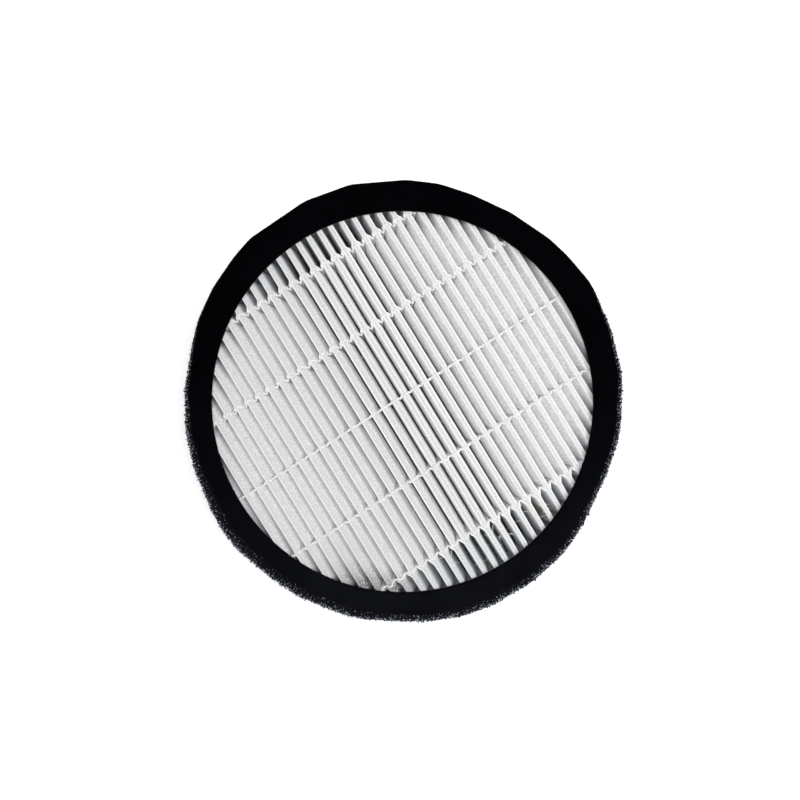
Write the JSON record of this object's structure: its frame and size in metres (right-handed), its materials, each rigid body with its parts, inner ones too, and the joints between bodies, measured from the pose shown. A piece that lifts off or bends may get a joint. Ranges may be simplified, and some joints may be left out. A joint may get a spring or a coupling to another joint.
{
  "type": "heat recovery ventilator filter",
  "caption": "Round pleated air filter: a white folded paper pack with glue separator beads in a black foam rim that pushes into a round duct.",
  "frame": {"origin": "centre of the back face, where the filter lies on a surface", "axes": "+Z comes out of the front face, along the air flow; +X runs along the glue beads and +Y along the pleats"},
  "size_m": [0.1483, 0.1484, 0.0258],
  "materials": {
    "filter_paper": "matte fibrous",
    "hot_melt_glue": "satin",
    "open_cell_foam": "open-cell foam",
    "smooth_foam": "smooth matte foam"
  },
  "bodies": {
    "root": {"pleated_media": "filter_paper", "edge_glue": "hot_melt_glue", "side_foam_band": "open_cell_foam", "front_foam_ring": "smooth_foam", "back_foam_ring": "smooth_foam", "front_separator_bead_1": "hot_melt_glue", "front_separator_bead_2": "hot_melt_glue", "front_separator_bead_3": "hot_melt_glue", "front_separator_bead_4": "hot_melt_glue", "front_separator_bead_5": "hot_melt_glue", "back_separator_bead_1": "hot_melt_glue", "back_separator_bead_2": "hot_melt_glue", "back_separator_bead_3": "hot_melt_glue", "back_separator_bead_4": "hot_melt_glue", "back_separator_bead_5": "hot_melt_glue"}
  },
  "joints": []
}
